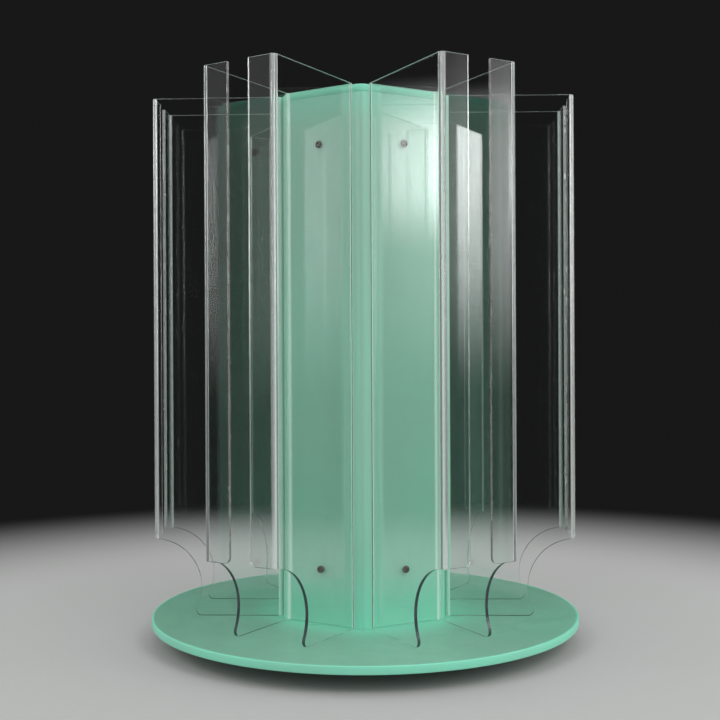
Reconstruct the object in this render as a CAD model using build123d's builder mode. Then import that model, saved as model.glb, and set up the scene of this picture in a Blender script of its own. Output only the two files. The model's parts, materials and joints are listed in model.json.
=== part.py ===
from build123d import *
import math
import os

# Six-sided counter-top display tower: clear bent channels screwed round a frosted hexagonal
# column, on a frosted round disc that turns on a pressed-steel ball-bearing turntable.
# Millimetres. +Z up, origin on the counter under the spin axis. A column corner faces -Y.

# ---- driving dimensions -------------------------------------------------------------------
faces = 6                     # column faces, one channel on each

# foot (the part that stays still)
foot_pad_diameter = 22.0      # stick-on rubber pads
foot_pad_height = 3.0
foot_pad_taper = 1.5          # how much smaller the pad's lower face is, in radius
foot_pad_inset = 18.0         # from the foot disc's rim to the pads' centres
foot_disc_diameter = 240.0
foot_disc_thickness = 5.0
driver_hole_diameter = 14.0   # lets a screwdriver reach the upper plate's screws
driver_hole_angle = 90.0      # clear of the lower plate's edge

# pressed-steel turntable bearing
bearing_side = 118.0
bearing_corner_radius = 14.0
bearing_height = 8.0          # outer face of the lower plate to outer face of the upper plate
bearing_sheet = 1.2
bearing_hole_spacing = 94.0
race_radius = 42.0            # circle of the ball centres
land_radius = 48.0            # raised middle that the ball groove is pressed into
land_rise = 1.6
land_ramp = 2.0               # slope at the edge of the land
race_clearance = 0.2          # ball to groove
ball_diameter = 5.0
ball_count = 8
retainer_width = 8.0
retainer_thickness = 1.0
rivet_radius = 6.0
rivet_bore_radius = 4.5
rivet_flange_radius = 9.5
rivet_flange_thickness = 1.2
spin_clearance = 0.05         # rivet to the upper plate, in radius and under the flange

# round base disc
disc_diameter = 400.0
disc_thickness = 7.0
disc_edge_chamfer = 0.6

# hexagonal column
column_side = 87.0            # corner to corner along a face, before rounding
column_corner_radius = 10.0
column_wall = 4.0
column_height = 479.0         # disc to the top of the cap
cap_thickness = 6.5
cap_edge_chamfer = 0.6
column_floor_thickness = 8.0
bond_line = 0.1               # glue gap round the column floor

# clear channels
channel_sheet = 3.0
channel_depth = 119.0         # back face to the outside of the lips
channel_bend_radius = 1.5     # inside of each bend
corner_strip = 6.8            # column face left bare beside each channel
channel_lift = 1.2            # above the disc
lip_width = 26.0
lip_bottom_height = 72.0      # above the disc
lip_corner_radius = 5.0
hand_cut_radius = 44.0
toe_radius = 5.0

# fasteners
screw_diameter = 3.5
screw_head_diameter = 6.6
screw_head_height = 2.4
screw_tip = 1.5               # past the nut
screw_hole_clearance = 0.25
screw_end_distance = 50.0     # from each end of the column
nut_across_flats = 6.0
nut_thickness = 2.8
thread_clearance = 0.05       # screw to what it threads into, in radius and past its tip
plate_screw_diameter = 4.0
plate_screw_head_diameter = 8.0
plate_screw_head_height = 2.2
plate_screw_length = 5.0      # under the head
column_screw_length = 13.0
column_screw_circle = 56.0    # radius
column_screw_count = 3
csk_head_diameter = 8.0
csk_angle = 90.0

# ---- heights and places that follow -------------------------------------------------------
foot_disc_bottom = foot_pad_height
bearing_bottom = foot_disc_bottom + foot_disc_thickness
bearing_top = bearing_bottom + bearing_height
disc_top = bearing_top + disc_thickness
column_top = disc_top + column_height
cap_bottom = column_top - cap_thickness
channel_bottom = disc_top + channel_lift
lip_bottom = disc_top + lip_bottom_height

apothem = column_side * math.cos(math.pi / faces)
channel_length = column_top - channel_bottom
channel_width = column_side - 2 * corner_strip
mouth_width = channel_width - 2 * lip_width
face_angles = [360 / faces * i for i in range(faces)]
screw_heights = (disc_top + screw_end_distance, column_top - screw_end_distance)
screw_hole_radius = screw_diameter / 2 + screw_hole_clearance
mid_bearing = bearing_bottom + bearing_height / 2


def outward(angle, distance, height):
    """The point at this distance from the spin axis, in the direction of a column face."""
    turn = math.radians(angle)
    return (distance * math.cos(turn), distance * math.sin(turn), height)


def section_plane(angle, height):
    """Horizontal plane with its x towards a column face."""
    return Plane(origin=(0, 0, height), x_dir=outward(angle, 1, 0), z_dir=(0, 0, 1))


def side_plane(angle, distance, height):
    """Upright plane square to a column face: x outwards, y up."""
    return Plane(
        origin=outward(angle, distance, height),
        x_dir=outward(angle, 1, 0),
        z_dir=outward(angle - 90, 1, 0),
    )


def face_plane(angle, distance, height):
    """Upright plane parallel to a column face, facing out: x sideways, y up."""
    return Plane(
        origin=outward(angle, distance, height),
        x_dir=outward(angle + 90, 1, 0),
        z_dir=outward(angle, 1, 0),
    )


def screw_planes(distance):
    """Outward-facing planes on the axes of the channel screws."""
    return [face_plane(angle, distance, height) for angle in face_angles for height in screw_heights]


def finish(builder, name):
    builder.part.label = name
    export_step(builder.part, f"parts/{name}.step")


os.makedirs("parts", exist_ok=True)

# ---- foot ---------------------------------------------------------------------------------
pad_circle = foot_disc_diameter / 2 - foot_pad_inset
pad_places = {"right": 0, "back": 90, "left": 180, "front": 270}
for place, pad_angle in pad_places.items():
    with BuildPart() as foot_pad:
        with BuildSketch(Plane(origin=outward(pad_angle, pad_circle, 0))):
            Circle(foot_pad_diameter / 2 - foot_pad_taper)
        with BuildSketch(Plane(origin=outward(pad_angle, pad_circle, foot_pad_height))):
            Circle(foot_pad_diameter / 2)
        loft()
    finish(foot_pad, f"foot_pad_{place}")

hole_corner = bearing_hole_spacing / 2
plate_thread_radius = plate_screw_diameter / 2 + thread_clearance
with BuildPart() as foot_disc:
    with BuildSketch(Plane.XY.offset(foot_disc_bottom)):
        Circle(foot_disc_diameter / 2)
        with PolarLocations(hole_corner * math.sqrt(2), 1, start_angle=driver_hole_angle):
            Circle(driver_hole_diameter / 2, mode=Mode.SUBTRACT)
    extrude(amount=foot_disc_thickness)
    with BuildSketch(Plane.XY.offset(bearing_bottom)):
        with GridLocations(bearing_hole_spacing, bearing_hole_spacing, 2, 2):
            Circle(plate_thread_radius)
    extrude(amount=-(plate_screw_length - bearing_sheet + thread_clearance), mode=Mode.SUBTRACT)
finish(foot_disc, "foot_disc")


# ---- turntable bearing --------------------------------------------------------------------
def build_bearing_plate(outer_height, up, hub_hole_radius):
    """Square sheet plate whose raised middle has a ball groove pressed into it.

    outer_height is the height of the face that lies on its board, and up is +1 for the lower
    plate, whose middle rises, or -1 for the upper one, whose middle drops.
    """
    land_face = land_rise + bearing_sheet
    # the groove's flanks are at 45 degrees and clear the balls by race_clearance
    flank = math.sqrt(2) * (ball_diameter / 2 + race_clearance) - bearing_height / 2
    back_flank = flank + math.sqrt(2) * bearing_sheet

    def at(radius, rise):
        return (radius, outer_height + up * rise)

    with BuildPart() as plate:
        with BuildSketch(Plane.XY.offset(outer_height)):
            RectangleRounded(bearing_side, bearing_side, bearing_corner_radius)
            Circle(land_radius + land_ramp, mode=Mode.SUBTRACT)
            with GridLocations(bearing_hole_spacing, bearing_hole_spacing, 2, 2):
                Circle(plate_screw_diameter / 2 + screw_hole_clearance, mode=Mode.SUBTRACT)
        extrude(amount=up * bearing_sheet)
        with BuildSketch(Plane.XZ):
            with BuildLine():
                Polyline(
                    at(hub_hole_radius, land_face),
                    at(race_radius - flank - land_face, land_face),
                    at(race_radius - flank - bearing_sheet, bearing_sheet),
                    at(race_radius + flank + bearing_sheet, bearing_sheet),
                    at(race_radius + flank + land_face, land_face),
                    at(land_radius, land_face),
                    at(land_radius + land_ramp, bearing_sheet),
                    at(land_radius + land_ramp, 0),
                    at(land_radius, land_rise),
                    at(race_radius + back_flank + land_rise, land_rise),
                    at(race_radius + back_flank, 0),
                    at(race_radius - back_flank, 0),
                    at(race_radius - back_flank - land_rise, land_rise),
                    at(hub_hole_radius, land_rise),
                    close=True,
                )
            make_face()
        revolve(axis=Axis.Z)
    return plate


finish(build_bearing_plate(bearing_bottom, 1, rivet_radius), "lower_bearing_plate")
finish(build_bearing_plate(bearing_top, -1, rivet_radius + spin_clearance), "upper_bearing_plate")

with BuildPart() as bearing_balls:
    with BuildSketch(Plane.XZ):
        with Locations((race_radius, mid_bearing)):
            Circle(ball_diameter / 2)
            Rectangle(ball_diameter, ball_diameter, align=(Align.MAX, Align.CENTER), mode=Mode.SUBTRACT)
    revolve(axis=Axis((race_radius, 0, 0), (0, 0, 1)))
    first_ball = bearing_balls.part
    with PolarLocations(0, ball_count):
        add(first_ball)
finish(bearing_balls, "bearing_balls")

with BuildPart() as ball_retainer:
    with BuildSketch(Plane.XY.offset(mid_bearing - retainer_thickness / 2)):
        Circle(race_radius + retainer_width / 2)
        Circle(race_radius - retainer_width / 2, mode=Mode.SUBTRACT)
        with PolarLocations(race_radius, ball_count):
            Circle(ball_diameter / 2 + race_clearance, mode=Mode.SUBTRACT)
    extrude(amount=retainer_thickness)
finish(ball_retainer, "ball_retainer")

lower_flange_top = bearing_bottom + land_rise
upper_flange_bottom = bearing_top - land_rise + spin_clearance
with BuildPart() as hub_rivet:
    with BuildSketch(Plane.XY.offset(lower_flange_top - rivet_flange_thickness)):
        Circle(rivet_flange_radius)
    extrude(amount=rivet_flange_thickness)
    with BuildSketch(Plane.XY.offset(upper_flange_bottom)):
        Circle(rivet_flange_radius)
    extrude(amount=rivet_flange_thickness)
    with BuildSketch(Plane.XY.offset(lower_flange_top)):
        Circle(rivet_radius)
    extrude(amount=upper_flange_bottom - lower_flange_top)
    with BuildSketch(Plane.XY.offset(lower_flange_top - rivet_flange_thickness)):
        Circle(rivet_bore_radius)
    extrude(amount=bearing_height, mode=Mode.SUBTRACT)
finish(hub_rivet, "hub_rivet")


def build_plate_screws(head_seat, into):
    """Four pan-head screws at a bearing plate's corners; into is +1 where they point up."""
    with BuildPart() as screws:
        with BuildSketch(Plane.XY.offset(head_seat)):
            with GridLocations(bearing_hole_spacing, bearing_hole_spacing, 2, 2):
                Circle(plate_screw_head_diameter / 2)
        extrude(amount=-into * plate_screw_head_height)
        with BuildSketch(Plane.XY.offset(head_seat)):
            with GridLocations(bearing_hole_spacing, bearing_hole_spacing, 2, 2):
                Circle(plate_screw_diameter / 2)
        extrude(amount=into * plate_screw_length)
    return screws


finish(build_plate_screws(bearing_bottom + bearing_sheet, -1), "lower_plate_screws")
finish(build_plate_screws(bearing_top - bearing_sheet, 1), "upper_plate_screws")

# ---- base disc ----------------------------------------------------------------------------
csk_depth = (csk_head_diameter - screw_diameter) / 2 / math.tan(math.radians(csk_angle / 2))
with BuildPart() as base_disc:
    with BuildSketch(Plane.XY.offset(bearing_top)):
        Circle(disc_diameter / 2)
    extrude(amount=disc_thickness)
    chamfer(base_disc.edges().filter_by(GeomType.CIRCLE), length=disc_edge_chamfer)
    with Locations(Plane(origin=(0, 0, bearing_top), x_dir=(1, 0, 0), z_dir=(0, 0, -1))):
        with PolarLocations(column_screw_circle, column_screw_count):
            CounterSinkHole(
                screw_hole_radius,
                csk_head_diameter / 2 + screw_hole_clearance,
                counter_sink_angle=csk_angle,
            )
    with BuildSketch(Plane.XY.offset(bearing_top)):
        with GridLocations(bearing_hole_spacing, bearing_hole_spacing, 2, 2):
            Circle(plate_thread_radius)
    extrude(amount=plate_screw_length - bearing_sheet + thread_clearance, mode=Mode.SUBTRACT)
finish(base_disc, "base_disc")


# ---- hexagonal column ---------------------------------------------------------------------
def column_outline(inset=0.0):
    """Rounded hexagon with a corner towards -Y, drawn inset from the column's outer faces."""
    RegularPolygon(column_side - inset / math.cos(math.pi / faces), faces, rotation=180 / faces)
    fillet(vertices(), radius=column_corner_radius - inset)


with BuildPart() as column_shell:
    with BuildSketch(Plane.XY.offset(disc_top)) as shell_section:
        column_outline()
        with BuildSketch(mode=Mode.SUBTRACT):
            column_outline(column_wall)
    extrude(amount=column_height - cap_thickness)
    with Locations(*screw_planes(apothem)):
        Hole(screw_hole_radius, depth=2 * column_wall)
finish(column_shell, "column_shell")

with BuildPart() as column_cap:
    with BuildSketch(Plane.XY.offset(cap_bottom)):
        column_outline()
    extrude(amount=cap_thickness)
    chamfer(column_cap.faces().sort_by(Axis.Z)[-1].edges(), length=cap_edge_chamfer)
finish(column_cap, "column_cap")

with BuildPart() as column_floor:
    with BuildSketch(Plane.XY.offset(disc_top)):
        column_outline(column_wall + bond_line)
        with PolarLocations(column_screw_circle, column_screw_count):
            Circle(screw_diameter / 2 + thread_clearance, mode=Mode.SUBTRACT)
    extrude(amount=column_floor_thickness)
finish(column_floor, "column_floor")

with BuildPart() as column_screws:
    with BuildSketch(Plane.XY.offset(bearing_top)):
        with PolarLocations(column_screw_circle, column_screw_count):
            Circle(screw_diameter / 2)
    extrude(amount=column_screw_length)
    with BuildSketch(Plane.XY.offset(bearing_top)):
        with PolarLocations(column_screw_circle, column_screw_count):
            Circle(csk_head_diameter / 2)
    extrude(amount=csk_depth, taper=csk_angle / 2)
finish(column_screws, "column_screws")


# ---- clear channels -----------------------------------------------------------------------
def mouth_outline():
    """Front view of the slot between the lips, widened below them by rounded corners."""
    lip_start = lip_bottom - channel_bottom
    with Locations((0, channel_length / 2)):
        Rectangle(mouth_width, channel_length)
    with Locations((0, lip_start / 2)):
        Rectangle(channel_width, lip_start)
    inner_corners = vertices().group_by(Axis.Y)[1].sort_by(Axis.X)[1:3]
    fillet(inner_corners, radius=lip_corner_radius)


def build_channel(angle):
    """One sheet bent to a back, two wings and two lips, and cut away at the foot.

    Seen from the side, the hand cut is an arc centred under the lips' outer face. It starts at
    the lips' lower edge and runs down into the rounded toe, which is tangent to it and the foot.
    """
    cut_height = lip_bottom - channel_bottom - hand_cut_radius
    toe_reach = math.sqrt((hand_cut_radius + toe_radius) ** 2 - (cut_height - toe_radius) ** 2)
    toe_angle = math.degrees(math.atan2(cut_height - toe_radius, toe_reach))
    inner_depth = channel_depth - 2 * channel_sheet
    inner_width = channel_width - 2 * channel_sheet
    with BuildPart() as channel:
        with BuildSketch(section_plane(angle, channel_bottom)):
            with Locations((apothem + channel_depth / 2, 0)):
                RectangleRounded(channel_depth, channel_width, channel_bend_radius + channel_sheet)
                RectangleRounded(inner_depth, inner_width, channel_bend_radius, mode=Mode.SUBTRACT)
        extrude(amount=channel_length)
        with BuildSketch(face_plane(angle, apothem + channel_depth, channel_bottom)):
            mouth_outline()
        extrude(amount=-(channel_sheet + channel_bend_radius), mode=Mode.SUBTRACT)
        with BuildSketch(side_plane(angle, apothem, channel_bottom)):
            with BuildLine():
                toe = CenterArc((channel_depth - toe_reach, toe_radius), toe_radius, -90, 90 + toe_angle)
                cut = CenterArc((channel_depth, cut_height), hand_cut_radius, 90, 90 + toe_angle)
                Polyline(toe @ 0, (0, 0), (0, channel_length), (channel_depth, channel_length), cut @ 0)
            make_face()
        extrude(amount=channel_width, both=True, mode=Mode.INTERSECT)
        with Locations(*(face_plane(angle, apothem + channel_sheet, z) for z in screw_heights)):
            Hole(screw_hole_radius, depth=2 * channel_sheet)
    return channel


for number, angle in enumerate(face_angles, start=1):
    finish(build_channel(angle), f"channel_{number}")

# ---- channel screws and nuts --------------------------------------------------------------
head_seat = apothem + channel_sheet
nut_seat = apothem - column_wall
screw_length = head_seat - nut_seat + nut_thickness + screw_tip

with BuildPart() as channel_screws:
    for seat in screw_planes(head_seat):
        with BuildSketch(seat):
            Circle(screw_head_diameter / 2)
        extrude(amount=screw_head_height)
    for seat in screw_planes(head_seat):
        with BuildSketch(seat):
            Circle(screw_diameter / 2)
        extrude(amount=-screw_length)
finish(channel_screws, "channel_screws")

with BuildPart() as channel_nuts:
    for seat in screw_planes(nut_seat):
        with BuildSketch(seat):
            RegularPolygon(nut_across_flats / 2, 6, major_radius=False)
            Circle(screw_diameter / 2 + thread_clearance, mode=Mode.SUBTRACT)
        extrude(amount=-nut_thickness)
finish(channel_nuts, "channel_nuts")
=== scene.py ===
import json
import math

import bpy
import numpy as np
from mathutils import Matrix, Vector


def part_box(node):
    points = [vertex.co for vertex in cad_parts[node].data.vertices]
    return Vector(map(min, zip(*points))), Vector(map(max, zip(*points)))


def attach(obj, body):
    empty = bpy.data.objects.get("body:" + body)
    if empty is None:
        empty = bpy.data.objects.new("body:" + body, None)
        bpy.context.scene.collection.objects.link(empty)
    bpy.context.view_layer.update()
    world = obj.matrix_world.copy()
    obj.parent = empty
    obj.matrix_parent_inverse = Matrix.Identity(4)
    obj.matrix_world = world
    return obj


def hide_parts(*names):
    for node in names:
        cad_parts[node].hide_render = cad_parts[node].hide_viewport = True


# Looks for a six-sided counter display tower: clear bent channels screwed round a frosted
# mint column, on a frosted disc that turns on a ball-bearing turntable. Metres, +Z up.

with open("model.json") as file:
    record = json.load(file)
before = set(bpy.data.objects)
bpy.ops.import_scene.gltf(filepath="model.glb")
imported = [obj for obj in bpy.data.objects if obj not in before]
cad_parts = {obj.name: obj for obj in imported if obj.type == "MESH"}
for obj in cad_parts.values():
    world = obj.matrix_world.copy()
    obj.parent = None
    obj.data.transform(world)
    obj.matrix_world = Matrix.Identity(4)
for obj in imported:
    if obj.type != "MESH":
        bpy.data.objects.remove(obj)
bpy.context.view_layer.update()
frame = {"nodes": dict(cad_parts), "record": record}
slot_of = {part["node"]: part["material_slot"] for part in frame["record"]["subparts"]}

# ---- sizes that the frame's boxes don't say --------------------------------------------------
FACES = 6
SHEET = 0.003                 # clear sheet
BEND_INSIDE = 0.0015
LIP_WIDTH = 0.026
LIP_BOTTOM = 0.072            # above the disc
LIP_CORNER = 0.005
HAND_CUT = 0.044              # radius, centred under the lips' outer face
TOE = 0.005
HOLE_RADIUS = 0.002
HOLE_PATCH = 0.008            # half the side of the mesh patch round a screw hole
COLUMN_SIDE = 0.087
COLUMN_CORNER = 0.010
COLUMN_WALL = 0.004
SCREW_HEAD = 0.0033           # radius
SCREW_SHANK = 0.00175
SCREW_LENGTH = 0.0148         # under the head
RECESS_REACH = 0.0021         # cross recess, from its middle
RECESS_WIDTH = 0.0011
RECESS_SLOPE = 0.00024
RECESS_DEPTH = 0.0017
EASE = 0.0007                 # rounding of the frosted pieces' edges
SHEET_EASE = 0.00035          # rounding of the clear sheet's edges
WALL_EASE = 0.0003            # rounding of the column wall's edges
CAP_FOOT_EASE = 0.0004        # chamfer of the cap's lower edge, which makes its fine joint line
CAP_BORDER = 0.006            # ring of faces round the cap's top
SOFT_ANGLE = 50               # degrees; edges sharper than this are rounded
SAME_LEVEL = 1e-6             # a face that rises less than this is flat
BALLS = 8
PAD_EASE = 0.0012             # rounding of the pads' lower edge
PAD_INSET = 0.0022            # from the pads' widest reach in to that rounding's centre
SCREW_TWIST = 2.4             # radians from one screw's recess to the next, as they were driven
SHEET_ROWS = [0.12, 0.2, 0.28, 0.36]          # heights of plain rows of the channels' mesh
WALL_ROWS = [0.13, 0.2, 0.27, 0.34, 0.41]     # and of the column's
ACRYLIC_IOR = 1.49
GLOW_REACH = 0.035            # how far the frosted pieces glow from where light gathers in them
AIR_GAP = 0.0001              # film of air between the column and the channels' backs
HOLD = 0.0004                 # width of the narrow row of faces beside each bend, which holds it crisp

# ---- places read from the frame --------------------------------------------------------------
channel_low, channel_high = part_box("channel_1")
shell_low, shell_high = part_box("column_shell")
cap_low, cap_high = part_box("column_cap")
disc_low, disc_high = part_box("base_disc")
screws_low, screws_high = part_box("channel_screws")
apothem = channel_low.x
channel_depth = channel_high.x - channel_low.x
channel_width = channel_high.y - channel_low.y
channel_foot = channel_low.z
channel_rise = channel_high.z - channel_low.z
screw_heights = (screws_low.z + SCREW_HEAD, screws_high.z - SCREW_HEAD)
face_turns = [2 * math.pi / FACES * k for k in range(FACES)]


# ---- mesh helpers ----------------------------------------------------------------------------
def grid_quads(rows, columns, wrap=False):
    """Four corners of each cell of a grid stored row by row; wrap joins the last column to the first."""
    row, column = np.meshgrid(np.arange(rows - 1), np.arange(columns if wrap else columns - 1), indexing="ij")
    after = (column + 1) % columns
    return np.stack([row * columns + column, row * columns + after,
                     (row + 1) * columns + after, (row + 1) * columns + column], -1).reshape(-1, 4)


def weld(points, quads):
    """Joins the points that share a place, and drops the ones that no face uses."""
    _, first, again = np.unique(np.round(points, 7), axis=0, return_index=True, return_inverse=True)
    quads = again.reshape(-1)[quads]
    used, quads = np.unique(quads, return_inverse=True)
    return points[first[used]], quads.reshape(-1, 4)


def open_edges(quads):
    """The directed edges that only one face has."""
    edges = np.stack([quads, np.roll(quads, -1, 1)], -1).reshape(-1, 2)
    _, again, count = np.unique(np.sort(edges, 1), axis=0, return_inverse=True, return_counts=True)
    return edges[count[again.reshape(-1)] == 1]


def add_piece(name, points, quads, body, finishes, finish_of=None, smooth=True):
    """A named mesh piece that rides on a body. finish_of gives each face's place in finishes."""
    mesh = bpy.data.meshes.new(name)
    mesh.from_pydata(points.tolist(), [], [list(dict.fromkeys(quad)) for quad in quads.tolist()])
    for finish in finishes:
        mesh.materials.append(finish)
    if finish_of is not None:
        mesh.polygons.foreach_set("material_index", np.asarray(finish_of, np.int32))
    mesh.polygons.foreach_set("use_smooth", np.broadcast_to(smooth, len(mesh.polygons)).copy())
    mesh.update()
    piece = bpy.data.objects.new(name, mesh)
    bpy.context.scene.collection.objects.link(piece)
    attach(piece, body)
    return piece


def turned(points, turn):
    """Points turned about the spin axis."""
    cos, sin = math.cos(turn), math.sin(turn)
    x, y, z = points[..., 0], points[..., 1], points[..., 2]
    return np.stack([x * cos - y * sin, x * sin + y * cos, z], -1)


def soften(piece, width, segments=2):
    """Rounds a piece's sharp edges without tilting its flat faces."""
    bevel = piece.modifiers.new("softened edges", "BEVEL")
    bevel.width = width
    bevel.segments = segments
    bevel.limit_method = "ANGLE"
    bevel.angle_limit = math.radians(SOFT_ANGLE)
    bevel.harden_normals = True


def lathe(profile, centre=(0.0, 0.0), segments=96):
    """(radius, height) pairs turned round an upright axis: each point sweeps a circle, and the
    circles are joined in order. The pairs begin and end on the axis, or at the same pair."""
    radius, height = np.asarray(profile, float).T
    around = np.arange(segments) * 2 * math.pi / segments
    points = np.stack([centre[0] + radius[:, None] * np.cos(around),
                       centre[1] + radius[:, None] * np.sin(around),
                       np.broadcast_to(height[:, None], (len(radius), segments))], -1)
    return weld(points.reshape(-1, 3), grid_quads(len(radius), segments, wrap=True))


def arc(centre, radius, start, end, steps):
    """Points of a circular arc, from one angle to another in degrees."""
    turn = np.radians(np.linspace(start, end, steps + 1))
    return [(centre[0] + radius * math.cos(t), centre[1] + radius * math.sin(t)) for t in turn]


# ---- finishes --------------------------------------------------------------------------------
def node(tree, kind, wires=None, **settings):
    """A shader node with its settings, and what feeds its inputs: an output or a plain value."""
    made = tree.nodes.new("ShaderNode" + kind)
    for key, value in settings.items():
        setattr(made, key, value)
    for key, value in (wires or {}).items():
        if isinstance(value, bpy.types.NodeSocket):
            tree.links.new(value, made.inputs[key])
        else:
            made.inputs[key].default_value = value
    return made


def new_finish(name, **plain):
    """A Principled material. Returns it with its tree, its shader and the object coordinates."""
    finish = bpy.data.materials.new(name)
    finish.use_nodes = True
    tree = finish.node_tree
    shader = tree.nodes["Principled BSDF"]
    for key, value in plain.items():
        shader.inputs[key.replace("_", " ")].default_value = value
    return finish, tree, shader, node(tree, "TexCoord").outputs["Object"]


def noise(tree, where, scale, detail, stretch=(1, 1, 1)):
    """Cloudy pattern from 0 to 1; stretch squeezes it along each axis."""
    if stretch != (1, 1, 1):
        where = node(tree, "Mapping", {"Vector": where, "Scale": stretch}).outputs[0]
    return node(tree, "TexNoise", {"Vector": where, "Scale": scale, "Detail": detail}).outputs[0]


def spread(tree, value, low, high, to_low, to_high, smooth=True):
    """Carries the range low..high over to to_low..to_high."""
    return node(tree, "MapRange", {"Value": value, 1: low, 2: high, 3: to_low, 4: to_high},
                interpolation_type="SMOOTHSTEP" if smooth else "LINEAR").outputs[0]


def blend(tree, share, first, second):
    """Colour between first and second."""
    return node(tree, "Mix", {0: share, 6: first, 7: second}, data_type="RGBA").outputs[2]


def combine(tree, first, second, operation="ADD"):
    """Two values added, or put together by another operation of the Math node."""
    return node(tree, "Math", {0: first, 1: second}, operation=operation).outputs[0]


def bump(tree, height, strength, distance):
    """Normals tilted as if height raised the surface by up to distance metres."""
    return node(tree, "Bump", {"Height": height, "Strength": strength, "Distance": distance}).outputs[0]


def let_lamps_through(finish, tree, shader, tint):
    """Clear sheet passes lamp light and scattered light straight on, a little dimmed."""
    path = node(tree, "LightPath")
    passing = combine(tree, path.outputs["Is Shadow Ray"], path.outputs["Is Diffuse Ray"], "MAXIMUM")
    through = node(tree, "BsdfTransparent", {"Color": tint})
    mixed = node(tree, "MixShader", {0: passing, 1: shader.outputs[0], 2: through.outputs[0]})
    tree.links.new(mixed.outputs[0], tree.nodes["Material Output"].inputs["Surface"])


def clear_sheet():
    """Clear acrylic: slow waviness from bending, a film of fingerprints and fine upright wipes."""
    finish, tree, shader, where = new_finish(
        "clear acrylic sheet", Base_Color=(0.975, 0.99, 0.985, 1), IOR=ACRYLIC_IOR, Transmission_Weight=1.0)
    prints = spread(tree, noise(tree, where, 26, 3), 0.52, 0.74, 0.0, 0.03)
    wipes = spread(tree, noise(tree, where, 90, 1, (1, 1, 0.03)), 0.5, 0.8, 0.0, 0.008)
    rough = combine(tree, combine(tree, prints, wipes), 0.01)
    tree.links.new(rough, shader.inputs["Roughness"])
    waves = noise(tree, where, 12, 1, (1, 1, 0.1))
    tree.links.new(bump(tree, waves, 0.04, 0.004), shader.inputs["Normal"])
    let_lamps_through(finish, tree, shader, (0.94, 0.955, 0.95, 1))
    return finish


def cut_edge():
    """Sawn and flame-polished edge of the clear sheet: softer than the faces, with saw ripples."""
    finish, tree, shader, where = new_finish(
        "clear acrylic cut edge", Base_Color=(0.50, 0.66, 0.72, 1), IOR=ACRYLIC_IOR, Transmission_Weight=0.93)
    rough = spread(tree, noise(tree, where, 240, 3), 0.35, 0.7, 0.08, 0.15)
    tree.links.new(rough, shader.inputs["Roughness"])
    ripples = noise(tree, where, 900, 2)
    tree.links.new(bump(tree, ripples, 0.12, 0.0004), shader.inputs["Normal"])
    let_lamps_through(finish, tree, shader, (0.9, 0.93, 0.92, 1))
    return finish


def bend_haze_and_highlight(name, clear, dull, pale):
    """Where the clear sheet was heated and bent: milky by as much as it isn't clear, partly the haze of
    heating and partly a painted highlight for the light the bends catch, with soft upright drag marks between
    the two tints."""
    finish, tree, shader, where = new_finish(name, IOR=ACRYLIC_IOR, Transmission_Weight=clear)
    drag = noise(tree, where, 160, 2, (1, 1, 0.03))
    tree.links.new(spread(tree, drag, 0.3, 0.7, 0.04, 0.14), shader.inputs["Roughness"])
    tree.links.new(blend(tree, drag, dull, pale), shader.inputs["Base Color"])
    waves = noise(tree, where, 20, 1, (1, 1, 0.1))
    tree.links.new(bump(tree, waves, 0.035, 0.002), shader.inputs["Normal"])
    let_lamps_through(finish, tree, shader, (0.88, 0.91, 0.90, 1))
    return finish


def sawn_edge_and_highlight(name, clear, dull, pale):
    """Straight sawn edge of the clear sheet: satin, paled partly by fine saw marks and partly by a painted
    highlight, so it catches light.
    """
    finish, tree, shader, where = new_finish(name, IOR=ACRYLIC_IOR, Transmission_Weight=clear)
    marks = noise(tree, where, 500, 2, (1, 1, 0.1))
    tree.links.new(spread(tree, marks, 0.3, 0.7, 0.16, 0.28), shader.inputs["Roughness"])
    patches = spread(tree, noise(tree, where, 40, 2, (1, 1, 0.2)), 0.3, 0.7, 0, 1)
    tree.links.new(blend(tree, patches, dull, pale), shader.inputs["Base Color"])
    tree.links.new(bump(tree, marks, 0.08, 0.0003), shader.inputs["Normal"])
    let_lamps_through(finish, tree, shader, (0.8, 0.84, 0.83, 1))
    return finish


def painted_column_glow(tree, where):
    """Painted glow: the column's colour is lighter above the disc, lighter towards the bottom, and under the
    cap, where light gathers in the real wall.
    """
    height = node(tree, "SeparateXYZ", {"Vector": where}).outputs["Z"]
    above_disc = spread(tree, height, disc_high.z, disc_high.z + 2 * GLOW_REACH, 0.4, 0.0)
    downwards = spread(tree, height, disc_high.z, cap_low.z, 0.5, 0.0, smooth=False)
    under_cap = spread(tree, height, cap_low.z - GLOW_REACH, cap_low.z, 0.0, 0.45)
    return combine(tree, combine(tree, above_disc, downwards), under_cap, "MAXIMUM")


def painted_disc_glow(tree, where):
    """Painted glow: the disc's colour is lighter round the column's foot and at its very rim, where light
    gathers in the real disc.
    """
    level = node(tree, "VectorMath", {0: where, 1: (1, 1, 0)}, operation="MULTIPLY").outputs[0]
    radius = node(tree, "VectorMath", {0: level}, operation="LENGTH").outputs["Value"]
    round_foot = spread(tree, radius, COLUMN_SIDE - GLOW_REACH / 2, COLUMN_SIDE + GLOW_REACH, 0.9, 0.0)
    at_rim = spread(tree, radius, disc_high.x - 4 * EASE, disc_high.x - EASE, 0.0, 1.0)
    return combine(tree, round_foot, at_rim, "MAXIMUM")


def painted_edge_glow(tree, where):
    """Painted glow: the cap and the disc's edge are lit all over, in slow clouds, where light leaves the real
    sheet's edges.
    """
    return spread(tree, noise(tree, where, 12, 2), 0.35, 0.65, 0.2, 0.8)


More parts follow.
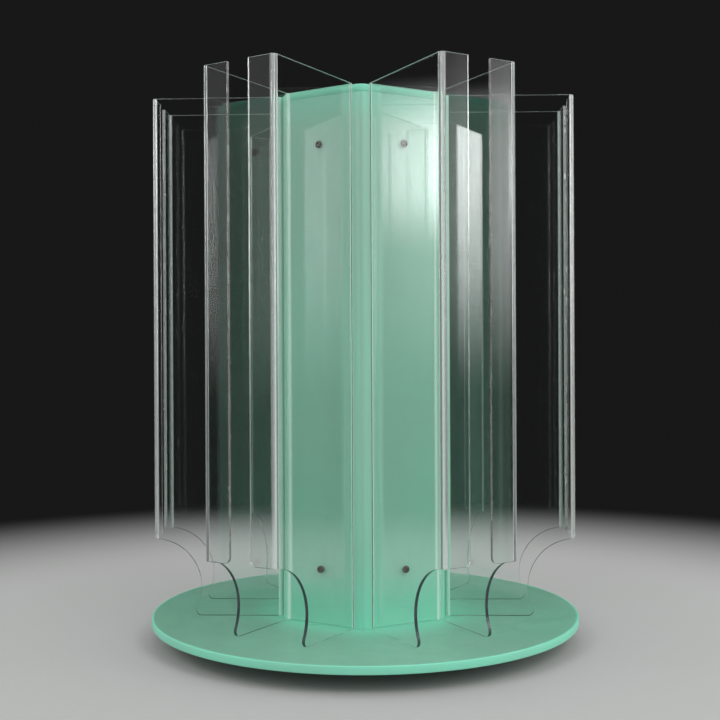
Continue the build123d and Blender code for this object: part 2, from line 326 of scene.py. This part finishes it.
def frosted(name, body, glow, gathers):
    """Frosted translucent acrylic: body colour, blended towards a painted glow, a lighter and greener mint,
    where the real sheet gathers light; gathers says how much of that painted glow there is at each place."""
    finish, tree, shader, where = new_finish(
        name, Subsurface_Weight=0.12, Subsurface_Scale=0.02, IOR=ACRYLIC_IOR)
    shader.inputs["Subsurface Radius"].default_value = (0.35, 1.0, 0.75)
    cloud = spread(tree, noise(tree, where, 7, 3), 0.3, 0.7, -0.12, 0.12)
    share = node(tree, "Clamp", {"Value": combine(tree, gathers(tree, where), cloud)}).outputs[0]
    tone = blend(tree, share, body, glow)
    specks = spread(tree, noise(tree, where, 900, 2), 0.3, 0.7, 0.0, 0.10, smooth=False)
    frost = tuple(0.86 * part + 0.08 for part in body[:3])
    tree.links.new(blend(tree, specks, tone, (*frost, 1)), shader.inputs["Base Color"])
    rough = spread(tree, noise(tree, where, 60, 4), 0.3, 0.7, 0.36, 0.47)
    tree.links.new(rough, shader.inputs["Roughness"])
    grain = noise(tree, where, 2600, 2)
    tree.links.new(bump(tree, grain, 0.18, 0.0002), shader.inputs["Normal"])
    return finish


def plated_steel(name, colour, dark, roughness, streak=(1, 1, 1), wear=0.35):
    """Plated or bronzed steel: mottled plating, drawn or pressed grain, and duller worn patches."""
    finish, tree, shader, where = new_finish(name, Metallic=1.0)
    mottle = spread(tree, noise(tree, where, 320, 4), 0.35, 0.7, 0.0, wear)
    tree.links.new(blend(tree, mottle, colour, dark), shader.inputs["Base Color"])
    rough = spread(tree, noise(tree, where, 700, 3, streak), 0.3, 0.7, roughness - 0.06, roughness + 0.1)
    tree.links.new(rough, shader.inputs["Roughness"])
    grain = noise(tree, where, 1800, 2, streak)
    tree.links.new(bump(tree, grain, 0.15, 0.0002), shader.inputs["Normal"])
    return finish


def moulded(name, colour, pale, roughness, grain_scale, strength):
    """Moulded nylon or rubber: slight bloom, pebbled grain and dustier high spots."""
    finish, tree, shader, where = new_finish(name)
    bloom = spread(tree, noise(tree, where, 90, 4), 0.4, 0.75, 0.0, 0.6)
    tree.links.new(blend(tree, bloom, colour, pale), shader.inputs["Base Color"])
    rough = spread(tree, noise(tree, where, 200, 3), 0.3, 0.7, roughness - 0.08, roughness + 0.08)
    tree.links.new(rough, shader.inputs["Roughness"])
    grain = noise(tree, where, grain_scale, 3)
    tree.links.new(bump(tree, grain, strength, 0.0003), shader.inputs["Normal"])
    return finish


MINT = (0.27, 0.50, 0.385, 1)
# painted glow: the lit mint that the frosted pieces are blended towards where light gathers in them
MINT_PAINTED_GLOW = (0.20, 0.66, 0.47, 1)
MINT_DISC = (0.168, 0.385, 0.28, 1)
# painted glow: a lighter, greener copy of the mint for the cap's band and the disc's rim
MINT_LIT_EDGE = (0.21, 0.58, 0.43, 1)
sheet_finish = clear_sheet()
edge_finish = cut_edge()
# painted highlight, partly the saw's satin: the lip and top edges are pale and part diffuse so they show as
# light lines
sawn_finish = sawn_edge_and_highlight("clear acrylic lip edge", 0.72, (0.44, 0.43, 0.42, 1), (0.56, 0.55, 0.54, 1))
top_finish = sawn_edge_and_highlight("clear acrylic top edge", 0.45, (0.78, 0.78, 0.74, 1), (0.92, 0.92, 0.88, 1))
# painted light: the bend by the column is tinted mint for light it picks up from the frosted column; the bend
# by the lip is milky white as a painted highlight
back_bend_finish = bend_haze_and_highlight("clear acrylic bend by the column", 0.35,
                               (0.50, 0.74, 0.62, 1), (0.74, 0.92, 0.83, 1))
lip_bend_finish = bend_haze_and_highlight("clear acrylic bend by the lip", 0.75,
                              (0.80, 0.84, 0.83, 1), (0.96, 0.98, 0.97, 1))
column_finish = frosted("frosted mint face", MINT, MINT_PAINTED_GLOW, painted_column_glow)
disc_finish = frosted("frosted mint disc", MINT_DISC, MINT_PAINTED_GLOW, painted_disc_glow)
rim_glow_finish = frosted("frosted mint edge", MINT_LIT_EDGE, MINT_PAINTED_GLOW, painted_edge_glow)
finish_for = {
    "clear_acrylic": sheet_finish,
    "frosted_acrylic": column_finish,
    "screw_steel": plated_steel(
        "bronzed screw steel", (0.055, 0.035, 0.027, 1), (0.02, 0.013, 0.011, 1), 0.3),
    "zinc_steel": plated_steel(
        "zinc plated steel", (0.60, 0.62, 0.64, 1), (0.42, 0.43, 0.43, 1), 0.36, (1, 0.15, 1)),
    "bearing_chrome": plated_steel(
        "bearing balls", (0.72, 0.72, 0.73, 1), (0.6, 0.6, 0.61, 1), 0.14, wear=0.2),
    "nylon": moulded("natural nylon", (0.72, 0.70, 0.62, 1), (0.80, 0.78, 0.72, 1), 0.45, 1500, 0.1),
    "rubber": moulded("black rubber", (0.022, 0.022, 0.023, 1), (0.05, 0.05, 0.05, 1), 0.72, 1800, 0.3),
}
for name, part in frame["nodes"].items():
    part.data.materials.clear()
    part.data.materials.append(finish_for[slot_of[name]])


# ---- clear channels --------------------------------------------------------------------------
bend_middle = BEND_INSIDE + SHEET / 2
bend_outside = BEND_INSIDE + SHEET
half_back = channel_width / 2 - bend_outside
wing = channel_depth - 2 * bend_outside
lip = LIP_WIDTH - bend_outside
bend_length = bend_middle * math.pi / 2
# places along the flat sheet, from the middle of the back
first_bend = half_back
wing_start = first_bend + bend_length
second_bend = wing_start + wing
lip_start = second_bend + bend_length
lip_end = lip_start + lip
cut_centre = channel_depth, disc_high.z + LIP_BOTTOM - channel_foot - HAND_CUT
lip_foot = cut_centre[1] + HAND_CUT
toe_reach = math.sqrt((HAND_CUT + TOE) ** 2 - (cut_centre[1] - TOE) ** 2)
toe_centre = channel_depth - toe_reach, TOE
toe_slope = math.atan2(cut_centre[1] - TOE, toe_reach)


def bent(along, height, offset):
    """Where a point of the flat sheet goes once bent. The sheet runs straight along the back,
    turns a quarter circle, runs along the wing, turns again and runs back along the lip; its
    position is the sum of those runs, each held between its ends, and offset moves the point
    square to the sheet, outwards."""
    side, far = np.sign(along), np.abs(along)
    turn_one = np.clip((far - first_bend) / bend_middle, 0, math.pi / 2)
    turn_two = np.clip((far - second_bend) / bend_middle, 0, math.pi / 2)
    out = (SHEET / 2 + bend_middle * (1 - np.cos(turn_one)) + np.clip(far - wing_start, 0, wing)
           + bend_middle * np.sin(turn_two))
    across = (np.minimum(far, first_bend) + bend_middle * (np.sin(turn_one) - 1 + np.cos(turn_two))
              - np.clip(far - lip_start, 0, lip))
    heading = turn_one + turn_two
    out = out - offset * np.cos(heading)
    across = across + offset * np.sin(heading)
    return np.stack([apothem + out, -side * across, channel_foot + height], -1)


def cut_reach(height):
    """How far out the wing goes at a height: along the toe's arc, then along the hand cut's arc."""
    on_toe = toe_centre[0] + np.sqrt(np.maximum(TOE ** 2 - (height - TOE) ** 2, 0))
    on_cut = channel_depth - np.sqrt(np.maximum(HAND_CUT ** 2 - (height - cut_centre[1]) ** 2, 0))
    return np.where(height < TOE + TOE * math.sin(toe_slope), on_toe, on_cut)


def hole_patch(centre, radius, half, rings=3):
    """Half of a square patch with a round hole: rings of points blend from the hole's half circle
    to the square's edge, five points up each side and three along the top and bottom."""
    square = np.array([(0, -2), (1, -2), (2, -2), (2, -1), (2, 0), (2, 1), (2, 2), (1, 2), (0, 2)]) * half / 2
    round_ = radius * np.stack([np.cos(np.linspace(-math.pi / 2, math.pi / 2, 9)),
                                np.sin(np.linspace(-math.pi / 2, math.pi / 2, 9))], -1)
    share = np.linspace(0, 1, rings + 1)[:, None, None] ** 1.4
    points = round_ * (1 - share) + square * share + (0, centre)
    return points.reshape(-1, 2), grid_quads(rings + 1, 9)[:, ::-1]


def half_sheet():
    """Half of the flat channel sheet as points (along, height) and their faces. Rows are level.
    Columns run up the back and first bend; across the wing they share out the width that the
    hand cut leaves at each height; past the wing they start at the lip's foot, whose free corner
    is a quarter circle."""
    patch = np.array([-2, -1, 0, 1, 2]) * HOLE_PATCH / 2
    holes = [round(height - channel_foot, 4) for height in screw_heights]
    toe_turns = np.radians([0, 22, 45, 68, 90, 90 + math.degrees(toe_slope)])
    bend_cut = math.degrees(math.asin((channel_depth - wing - bend_outside) / HAND_CUT))
    cut_turns = np.radians(np.linspace(180 + math.degrees(toe_slope), 90 + bend_cut, 26))
    cut_rows = cut_centre[1] + HAND_CUT * np.sin(cut_turns)
    cut_rows = cut_rows[abs(cut_rows - holes[0]) > HOLE_PATCH + HOLD]
    toe_rows = TOE - TOE * np.cos(toe_turns)
    rows_below = np.unique(np.round(np.concatenate([toe_rows, cut_rows, holes[0] + patch]), 7))
    wing_foot = rows_below[-1]
    corner_turns = np.linspace(0, math.pi / 2, 7)
    rows_above = np.concatenate([
        lip_foot + LIP_CORNER * (1 - np.cos(corner_turns))[1:], SHEET_ROWS, holes[1] + patch, [channel_rise]])
    rows = np.concatenate([rows_below, rows_above])
    back = np.array([0, HOLE_PATCH / 2, HOLE_PATCH, 0.014, 0.022, first_bend - HOLD])
    bend = np.linspace(0, bend_length, 17)
    shares = np.array([0, 0.08, 0.25, 0.45, 0.65, 0.82, 0.93, 1.0])
    lip_shares = np.array([0, 0.3, 0.6, 0.8, 0.93, 1.0])

    # back, first bend and wing, every row
    reach = np.where(rows < wing_foot, cut_reach(rows) - bend_outside, wing)
    fixed = np.concatenate([back, first_bend + bend])
    held = np.where(rows < wing_foot, HOLD, 2 * HOLD)
    across = wing_start + HOLD + shares * (reach - held)[:, None]
    along = np.concatenate([np.broadcast_to(fixed, (len(rows), len(fixed))), across], 1)
    height = np.broadcast_to(rows[:, None], along.shape)
    quads = grid_quads(*along.shape)
    middle = np.stack([along, height], -1).reshape(-1, 2)[quads].mean(1)
    in_patch = (middle[:, 0] < HOLE_PATCH) & np.any([abs(middle[:, 1] - h) < HOLE_PATCH for h in holes], 0)
    parts = [(np.stack([along, height], -1).reshape(-1, 2), quads[~in_patch])]

    # second bend and lip, from the wing's foot row up
    upper = rows[rows >= wing_foot]
    edge = lip_end - LIP_CORNER + np.sqrt(np.maximum(
        LIP_CORNER ** 2 - np.maximum(lip_foot + LIP_CORNER - upper, 0) ** 2, 0))
    edge = np.where(upper <= lip_foot, lip_end - LIP_CORNER, edge)
    turned_part = np.concatenate([[second_bend - HOLD], second_bend + bend])
    lip_along = lip_start + HOLD + lip_shares * (edge[:, None] - lip_start - HOLD)
    along = np.concatenate([np.broadcast_to(turned_part, (len(upper), len(turned_part))), lip_along], 1)
    height = np.broadcast_to(upper[:, None], along.shape).copy()
    turn = np.clip((along[0] - second_bend) / bend_middle, 0, math.pi / 2)
    out = channel_depth - bend_outside + bend_middle * np.sin(turn)
    on_cut = cut_centre[1] + np.sqrt(HAND_CUT ** 2 - (channel_depth - np.minimum(out, channel_depth)) ** 2)
    height[0] = np.where(along[0] < second_bend, wing_foot, on_cut)
    height[0, along[0] >= lip_start] = lip_foot
    parts.append((np.stack([along, height], -1).reshape(-1, 2), grid_quads(*along.shape)))
    parts += [hole_patch(h, HOLE_RADIUS, HOLE_PATCH) for h in holes]
    return parts


def joined(parts):
    """One set of points and faces from several."""
    counts = np.cumsum([0] + [len(points) for points, _ in parts[:-1]])
    return (np.concatenate([points for points, _ in parts]),
            np.concatenate([quads + start for (_, quads), start in zip(parts, counts)]))


def thick_sheet(place, flat, quads, thickness):
    """Both faces of a sheet and the strip that closes its edges. place(along, height, offset)
    bends a flat point. Returns points, faces, and which faces are edge strip."""
    count = len(flat)
    points = np.concatenate([place(flat[:, 0], flat[:, 1], thickness / 2),
                             place(flat[:, 0], flat[:, 1], -thickness / 2)])
    rim = open_edges(quads)
    strip = np.stack([rim[:, 1], rim[:, 0], rim[:, 0] + count, rim[:, 1] + count], -1)
    faces = np.concatenate([quads, quads[:, ::-1] + count, strip])
    return points, faces, np.arange(len(faces)) >= 2 * len(quads)


flat, cells = joined(half_sheet())
mirrored = flat * (-1, 1)
flat, cells = weld(*joined([(flat, cells), (mirrored, cells[:, ::-1])]))
sheet_points, sheet_faces, is_edge = thick_sheet(bent, flat, cells, SHEET)
facing = abs(flat[cells][:, :, 0]).mean(1)
# each face's place in the channel's list of finishes
FACE, CUT_EDGE, LIP_EDGE, BACK_BEND, LIP_BEND, TOP_EDGE = range(6)
in_back_bend = (facing > first_bend) & (facing < wing_start + HOLD)
in_lip_bend = (facing > second_bend) & (facing < lip_start)
bend_kind = np.select([in_back_bend, in_lip_bend], [BACK_BEND, LIP_BEND], FACE)
bend_kind = np.concatenate([bend_kind, bend_kind, np.full(is_edge.sum(), FACE)])
strip_middle = sheet_points[sheet_faces].mean(1)
beyond_wing = strip_middle[:, 0] > channel_high.x - bend_outside
on_top = strip_middle[:, 2] > channel_high.z - SHEET / 10
edge_kind = np.where(on_top, TOP_EDGE, np.where(beyond_wing, LIP_EDGE, CUT_EDGE))
finish_kind = np.where(is_edge, edge_kind, bend_kind)
channel_finishes = [sheet_finish, edge_finish, sawn_finish, back_bend_finish, lip_bend_finish, top_finish]
for number, turn in enumerate(face_turns, start=1):
    channel = add_piece(f"clear_channel_{number}", turned(sheet_points, turn), sheet_faces, "tower",
                        channel_finishes, finish_kind, bend_kind != FACE)
    soften(channel, SHEET_EASE)
    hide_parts(f"channel_{number}")


# ---- frosted column --------------------------------------------------------------------------
column_middle = COLUMN_CORNER - COLUMN_WALL / 2
half_flat = COLUMN_SIDE / 2 - COLUMN_CORNER * math.tan(math.pi / FACES)


def wrapped(along, height, offset):
    """Where a point of the column's flat wall goes once wrapped: straight to the corner, then
    round half of its arc; offset moves it square to the wall, outwards."""
    side, far = np.sign(along), np.abs(along)
    turn = np.clip(far - half_flat, 0, None) / column_middle
    out = apothem - AIR_GAP - COLUMN_WALL / 2 - column_middle * (1 - np.cos(turn)) + offset * np.cos(turn)
    across = np.minimum(far, half_flat) + (column_middle + offset) * np.sin(turn)
    return np.stack([out, side * across, height], -1)


def column_wall():
    """Half of one face of the column wall, flat, from the middle of the face to the middle of its
    corner, with the patches of its two screw holes."""
    patch = np.array([-2, -1, 0, 1, 2]) * HOLE_PATCH / 2
    holes = [round(height, 4) for height in screw_heights]
    rows = np.concatenate([[shell_low.z], *[height + patch for height in holes], [shell_high.z]])
    rows = np.sort(np.concatenate([rows, WALL_ROWS]))
    corner = half_flat + np.linspace(0, column_middle * math.pi / FACES, 9)
    columns = np.concatenate([[0, HOLE_PATCH / 2, HOLE_PATCH, 0.016, 0.026, half_flat - HOLD], corner])
    flat = np.stack(np.meshgrid(columns, rows), -1)
    quads = grid_quads(len(rows), len(columns))
    middle = flat.reshape(-1, 2)[quads].mean(1)
    in_patch = (middle[:, 0] < HOLE_PATCH) & np.any([abs(middle[:, 1] - h) < HOLE_PATCH for h in holes], 0)
    parts = [(flat.reshape(-1, 2), quads[~in_patch])]
    return joined(parts + [hole_patch(h, HOLE_RADIUS, HOLE_PATCH) for h in holes])


def hexagon(inset, height, segments=10):
    """Outline of the column drawn inset from its outer faces: six arcs about the corners' centres,
    joined by the straight faces."""
    centre = COLUMN_SIDE - COLUMN_CORNER / math.cos(math.pi / FACES)
    middle = np.repeat(np.array(face_turns) + math.pi / FACES, segments + 1)
    turn = middle + np.tile(np.linspace(-1, 1, segments + 1) * math.pi / FACES, FACES)
    radius = COLUMN_CORNER - inset
    return np.stack([centre * np.cos(middle) + radius * np.cos(turn),
                     centre * np.sin(middle) + radius * np.sin(turn), np.full(len(turn), height)], -1)


def lofted(rings):
    """Rings of equally many points joined in order; a ring of one point closes an end."""
    count = max(len(ring) for ring in rings)
    points = np.concatenate([np.broadcast_to(ring, (count, 3)) for ring in rings])
    return weld(points, grid_quads(len(rings), count, wrap=True))


wall, cells = column_wall()
wall, cells = weld(*joined([(wall, cells), (wall * (-1, 1), cells[:, ::-1])]))
face_points, face_quads, is_edge = thick_sheet(wrapped, wall, cells, COLUMN_WALL)
in_corner = abs(wall[cells][:, :, 0]).mean(1) > half_flat
in_corner = np.concatenate([in_corner, in_corner, np.zeros(is_edge.sum(), bool)])
shell_points, shell_quads = weld(*joined([(turned(face_points, turn), face_quads) for turn in face_turns]))
# the strips between neighbouring faces lie inside the wall, each twice: both go
_, again, count = np.unique(np.sort(shell_quads, 1), axis=0, return_inverse=True, return_counts=True)
once = count[again.reshape(-1)] == 1
shell = add_piece("frosted_column", shell_points, shell_quads[once], "tower",
                  [column_finish], smooth=np.tile(in_corner, FACES)[once])
soften(shell, WALL_EASE)
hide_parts("column_shell")

cap_rings = [[(0, 0, cap_low.z)], hexagon(AIR_GAP + CAP_FOOT_EASE, cap_low.z),
             hexagon(AIR_GAP, cap_low.z + CAP_FOOT_EASE)]
cap_rings += [hexagon(AIR_GAP + EASE * (1 - math.cos(t)), cap_high.z - EASE * (1 - math.sin(t)))
              for t in np.radians([0, 30, 60, 90])]
cap_rings += [hexagon(CAP_BORDER, cap_high.z), [(0, 0, cap_high.z)]]
cap_points, cap_quads = lofted(cap_rings)
is_side = np.ptp(cap_points[cap_quads][:, :, 2], axis=1) > SAME_LEVEL
cap = add_piece("frosted_cap", cap_points, cap_quads, "tower",
                [column_finish, rim_glow_finish], is_side, is_side)
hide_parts("column_cap")

# ---- frosted base disc -----------------------------------------------------------------------
disc_radius = disc_high.x
disc_profile = [(0, disc_low.z), (0.06, disc_low.z), (0.13, disc_low.z), (0.19, disc_low.z)]
disc_profile += arc((disc_radius - EASE, disc_low.z + EASE), EASE, -90, 0, 3)
disc_profile += arc((disc_radius - EASE, disc_high.z - EASE), EASE, 0, 90, 3)
disc_profile += [(0.19, disc_high.z), (0.13, disc_high.z), (0.08, disc_high.z), (0, disc_high.z)]
disc_points, disc_quads = lathe(disc_profile, segments=256)
is_rim = np.ptp(disc_points[disc_quads][:, :, 2], axis=1) > SAME_LEVEL
disc = add_piece("frosted_disc", disc_points, disc_quads, "tower",
                 [disc_finish, rim_glow_finish], is_rim, is_rim)
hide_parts("base_disc")


# ---- pan-head screws -------------------------------------------------------------------------
def cross_recess(across, up):
    """Depth of a cross recess, as a share: two bars whose walls slope, shallower towards their
    ends, round a deeper middle."""
    def bar(u, v):
        wall = np.clip((RECESS_WIDTH / 2 - abs(v)) / RECESS_SLOPE, 0, 1)
        end = np.clip((RECESS_REACH - abs(u)) / (2 * RECESS_SLOPE), 0, 1)
        return 0.75 * wall * end * (1 - 0.4 * abs(u) / RECESS_REACH)
    middle = np.clip((RECESS_WIDTH - np.hypot(across, up)) / (2 * RECESS_SLOPE), 0, 1)
    return np.maximum(np.maximum(bar(across, up), bar(up, across)), middle)


def pan_screw(length, head_rise, around=48):
    """A screw on its own axis, head outwards: radius and height along its outline, from the middle
    of the head over its domed top and side, under it and down the shank to the tip; the head's
    top is sunk by the cross recess. Returns points, faces, and which faces lie in the recess."""
    dome = [(SCREW_HEAD * 0.72 * r, head_rise * (1 - 0.06 * r * r)) for r in np.linspace(0, 1, 15)]
    shoulder = [(SCREW_HEAD * (0.72 + 0.28 * math.sin(t)), head_rise * (0.44 + 0.5 * math.cos(t)))
                for t in np.radians([25, 50, 72, 90])]
    profile = np.array(dome + shoulder + [
        (SCREW_HEAD, 0.0003), (SCREW_HEAD - 0.0002, 0), (SCREW_SHANK, 0), (SCREW_SHANK, -length + 0.0008),
        (SCREW_SHANK * 0.7, -length), (0, -length)])
    turn = np.arange(around) * 2 * math.pi / around
    across = profile[:, :1] * np.cos(turn)
    up = profile[:, :1] * np.sin(turn)
    on_top = np.arange(len(profile)) < len(dome) + 1
    sunk = cross_recess(across, up) * on_top[:, None]
    out = profile[:, 1:] - RECESS_DEPTH * sunk
    quads = grid_quads(len(profile), around, wrap=True)[:, ::-1]
    return np.stack([across, up, out], -1).reshape(-1, 3), quads, sunk.reshape(-1)[quads].mean(1) > 0.5


head_seat = apothem + SHEET
head_rise = screws_high.x - head_seat
one_screw, screw_cells, in_recess = pan_screw(SCREW_LENGTH, head_rise)
screw_parts = []
for k, turn in enumerate(face_turns):
    for j, height in enumerate(screw_heights):
        twist = SCREW_TWIST * (2 * k + j)
        x, y = (one_screw[:, 0] * math.cos(twist) - one_screw[:, 1] * math.sin(twist),
                one_screw[:, 0] * math.sin(twist) + one_screw[:, 1] * math.cos(twist))
        placed = np.stack([head_seat + one_screw[:, 2], x, height + y], -1)
        screw_parts.append((turned(placed, turn), screw_cells))
screw_points, screw_quads = weld(*joined(screw_parts))
# painted shade: the cross recess is coloured near black for the shade that falls in it
recess_shade_finish = plated_steel("screw recess painted shade", (0.012, 0.009, 0.008, 1), (0.006, 0.005, 0.005, 1), 0.45)
screws = add_piece("pan_head_screws", screw_points, screw_quads, "tower",
                   [finish_for["screw_steel"], recess_shade_finish], np.tile(in_recess, len(screw_parts)))
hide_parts("channel_screws")

# ---- bearing balls and rubber pads -----------------------------------------------------------
balls_low, balls_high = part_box("bearing_balls")
ball_radius = (balls_high.z - balls_low.z) / 2
race = balls_high.x - ball_radius
ball_height = (balls_high.z + balls_low.z) / 2
ball_profile = [(max(r, 0), ball_height + h) for r, h in arc((0, 0), ball_radius, -90, 90, 12)]
ball_points, ball_quads = joined([lathe(ball_profile, (race * math.cos(t), race * math.sin(t)), 20)
                                  for t in np.arange(BALLS) * 2 * math.pi / BALLS])
balls = add_piece("polished_balls", ball_points, ball_quads, "foot",
                  [finish_for["bearing_chrome"]])
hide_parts("bearing_balls")

for place in ("right", "back", "left", "front"):
    pad_low, pad_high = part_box(f"foot_pad_{place}")
    radius = (pad_high.x - pad_low.x) / 2
    middle = ((pad_low.x + pad_high.x) / 2, (pad_low.y + pad_high.y) / 2)
    profile = [(0, 0), (radius * 0.5, 0)] + arc((radius - PAD_INSET, PAD_EASE), PAD_EASE, -90, -20, 4)
    profile += [(radius - 0.0003, pad_high.z - 0.0004), (radius - 0.0001, pad_high.z), (0, pad_high.z)]
    pad_points, pad_quads = lathe(profile, middle, 48)
    pad = add_piece(f"rubber_pad_{place}", pad_points, pad_quads, "foot", [finish_for["rubber"]])
    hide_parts(f"foot_pad_{place}")

# ---- camera, light and floor -----------------------------------------------------------------
CAMERA_AT = (0.02368, -1.05107, 0.26177)
YAW, PITCH, ROLL = -0.02626, -0.00217, -0.00458
LENS = 55.11                  # mm on a 36 mm sensor

ahead = Vector((math.sin(YAW) * math.cos(PITCH), math.cos(YAW) * math.cos(PITCH), math.sin(PITCH)))
level = Vector((math.cos(YAW), -math.sin(YAW), 0))
upright = level.cross(ahead)
right = math.cos(ROLL) * level + math.sin(ROLL) * upright
up = -math.sin(ROLL) * level + math.cos(ROLL) * upright
camera_data = bpy.data.cameras.new("camera")
camera_data.lens = LENS
camera = bpy.data.objects.new("camera", camera_data)
camera.matrix_world = Matrix.Translation(CAMERA_AT) @ Matrix((right, up, -ahead)).transposed().to_4x4()
bpy.context.scene.collection.objects.link(camera)
bpy.context.scene.camera = camera


def seen_straight(tree):
    """1 where the eye meets a lamp directly, or through clear sheets with no reflection between."""
    path = node(tree, "LightPath")
    bounced = combine(tree, path.outputs["Glossy Depth"], path.outputs["Diffuse Depth"])
    unbounced = combine(tree, bounced, 0.5, "LESS_THAN")
    through = combine(tree, path.outputs["Is Transmission Ray"], unbounced, "MULTIPLY")
    return combine(tree, path.outputs["Is Camera Ray"], through, "MAXIMUM")


def softbox(name, at, towards, width, height, power, fade=0.3, foot=0.0):
    """A soft rectangular lamp whose brightness falls off towards its edges, and further towards
    its foot if foot is more than fade. It lights the object and shows in its gloss, but not
    behind it."""
    lamp = bpy.data.lights.new(name, "AREA")
    lamp.shape = "RECTANGLE"
    lamp.size, lamp.size_y, lamp.energy = width, height, power
    lamp.use_nodes = True
    tree = lamp.node_tree
    place = node(tree, "SeparateXYZ", {"Vector": node(tree, "NewGeometry").outputs["Parametric"]})
    runs = (("X", 0.0, fade), ("X", 1.0, 1.0 - fade), ("Y", 0.0, max(fade, foot)), ("Y", 1.0, 1.0 - fade))
    sides = [spread(tree, place.outputs[axis], edge, full, 0.0, 1.0) for axis, edge, full in runs]
    across = combine(tree, sides[0], sides[1], "MULTIPLY")
    upwards = combine(tree, sides[2], sides[3], "MULTIPLY")
    level = combine(tree, across, upwards, "MULTIPLY")
    hidden = combine(tree, 1.0, seen_straight(tree), "SUBTRACT")
    tree.links.new(combine(tree, level, hidden, "MULTIPLY"), tree.nodes["Emission"].inputs["Strength"])
    box = bpy.data.objects.new(name, lamp)
    aim = (Vector(towards) - Vector(at)).to_track_quat("-Z", "Y")
    box.matrix_world = Matrix.Translation(at) @ aim.to_matrix().to_4x4()
    bpy.context.scene.collection.objects.link(box)


# the high lamps light the object from above the angles at which its upright sheets mirror them
# (name, place, what it faces, width, height, watts, fade, foot), in metres
softbox("high key", (1.2, -1.2, 1.8), (0, 0, 0.25), 1.2, 1.2, 24)
softbox("high fill", (-1.3, -1.3, 1.8), (0, 0, 0.25), 1.2, 1.2, 17)
softbox("top softbox", (0.1, 0.3, 2.2), (0, 0, 0.3), 1.8, 1.8, 8)
softbox("right softbox", (1.6, -0.52, 0.62), (0, 0, 0.3), 1.1, 0.95, 15, 0.45)
softbox("left softbox", (-1.8, -1.1, 0.7), (0, 0, 0.25), 1.4, 1.3, 2)
softbox("back softbox", (-1.45, 0.5, 0.7), (0, 0, 0.35), 0.7, 0.42, 5, 0.45)
softbox("right back strip", (1.22, 0.88, 0.56), (0.43, 1.48, 0.56), 0.2, 0.8, 2.3, 0.03, 0.8)
softbox("front left strip", (-0.7, -1.32, 0.7), (0, 0, 0.4), 0.15, 1.2, 4.2)
softbox("front right strip", (0.7, -1.32, 0.7), (0, 0, 0.4), 0.15, 1.2, 5.5)
softbox("left strip", (-1.4, 0.1, 0.7), (0, 0, 0.3), 0.25, 1.2, 6)
softbox("right strip", (1.42, 0.12, 0.7), (0, 0, 0.3), 0.45, 1.2, 7)

FLOOR = (0.42, 0.42, 0.417, 1)
BACKDROP = (0.009, 0.009, 0.0093, 1)
WORLD_LIGHT = 0.62
FADE_FROM, FADE_TO = 0.42, 0.95       # distances from the axis at which the floor starts and ends its fade
FLOOR_REACH = 20.0


def seen_by_eye(tree):
    """1 for what the camera meets directly, in a gloss or through a clear sheet."""
    path = node(tree, "LightPath")
    met = combine(tree, path.outputs["Is Camera Ray"], path.outputs["Is Glossy Ray"], "MAXIMUM")
    return combine(tree, met, path.outputs["Is Transmission Ray"], "MAXIMUM")


world = bpy.data.worlds.new("studio")
world.use_nodes = True
bpy.context.scene.world = world
sky = world.node_tree
light = node(sky, "Background", {"Color": (1, 1, 1, 1), "Strength": WORLD_LIGHT})
seen = node(sky, "Background", {"Color": BACKDROP, "Strength": 1.0})
both = node(sky, "MixShader", {0: seen_by_eye(sky), 1: light.outputs[0], 2: seen.outputs[0]})
sky.links.new(both.outputs[0], sky.nodes["World Output"].inputs["Surface"])

# the pale floor fades into the dark backdrop with distance from the object, to the eye only
floor_finish, tree, shader, where = new_finish("plain pale floor", Base_Color=FLOOR, Roughness=0.9)
shader.inputs["Specular IOR Level"].default_value = 0.2
distance = node(tree, "VectorMath", {0: where}, operation="LENGTH").outputs["Value"]
far = spread(tree, distance, FADE_FROM, FADE_TO, 0.0, 1.0)
beyond = node(tree, "Emission", {"Color": BACKDROP, "Strength": 1.0})
away = combine(tree, far, seen_by_eye(tree), "MULTIPLY")
mixed = node(tree, "MixShader", {0: away, 1: shader.outputs[0], 2: beyond.outputs[0]})
tree.links.new(mixed.outputs[0], tree.nodes["Material Output"].inputs["Surface"])
floor_mesh = bpy.data.meshes.new("floor")
corners = [(FLOOR_REACH * x, FLOOR_REACH * y, 0) for x, y in ((-1, -1), (1, -1), (1, 1), (-1, 1))]
floor_mesh.from_pydata(corners, [], [(0, 1, 2, 3)])
floor_mesh.materials.append(floor_finish)
floor = bpy.data.objects.new("floor", floor_mesh)
bpy.context.scene.collection.objects.link(floor)

scene = bpy.context.scene
scene.view_settings.view_transform = "Standard"
# light runs far inside the bent sheets, and meets many of them in a row
scene.cycles.max_bounces = 32
scene.cycles.transmission_bounces = 32
scene.cycles.transparent_max_bounces = 40
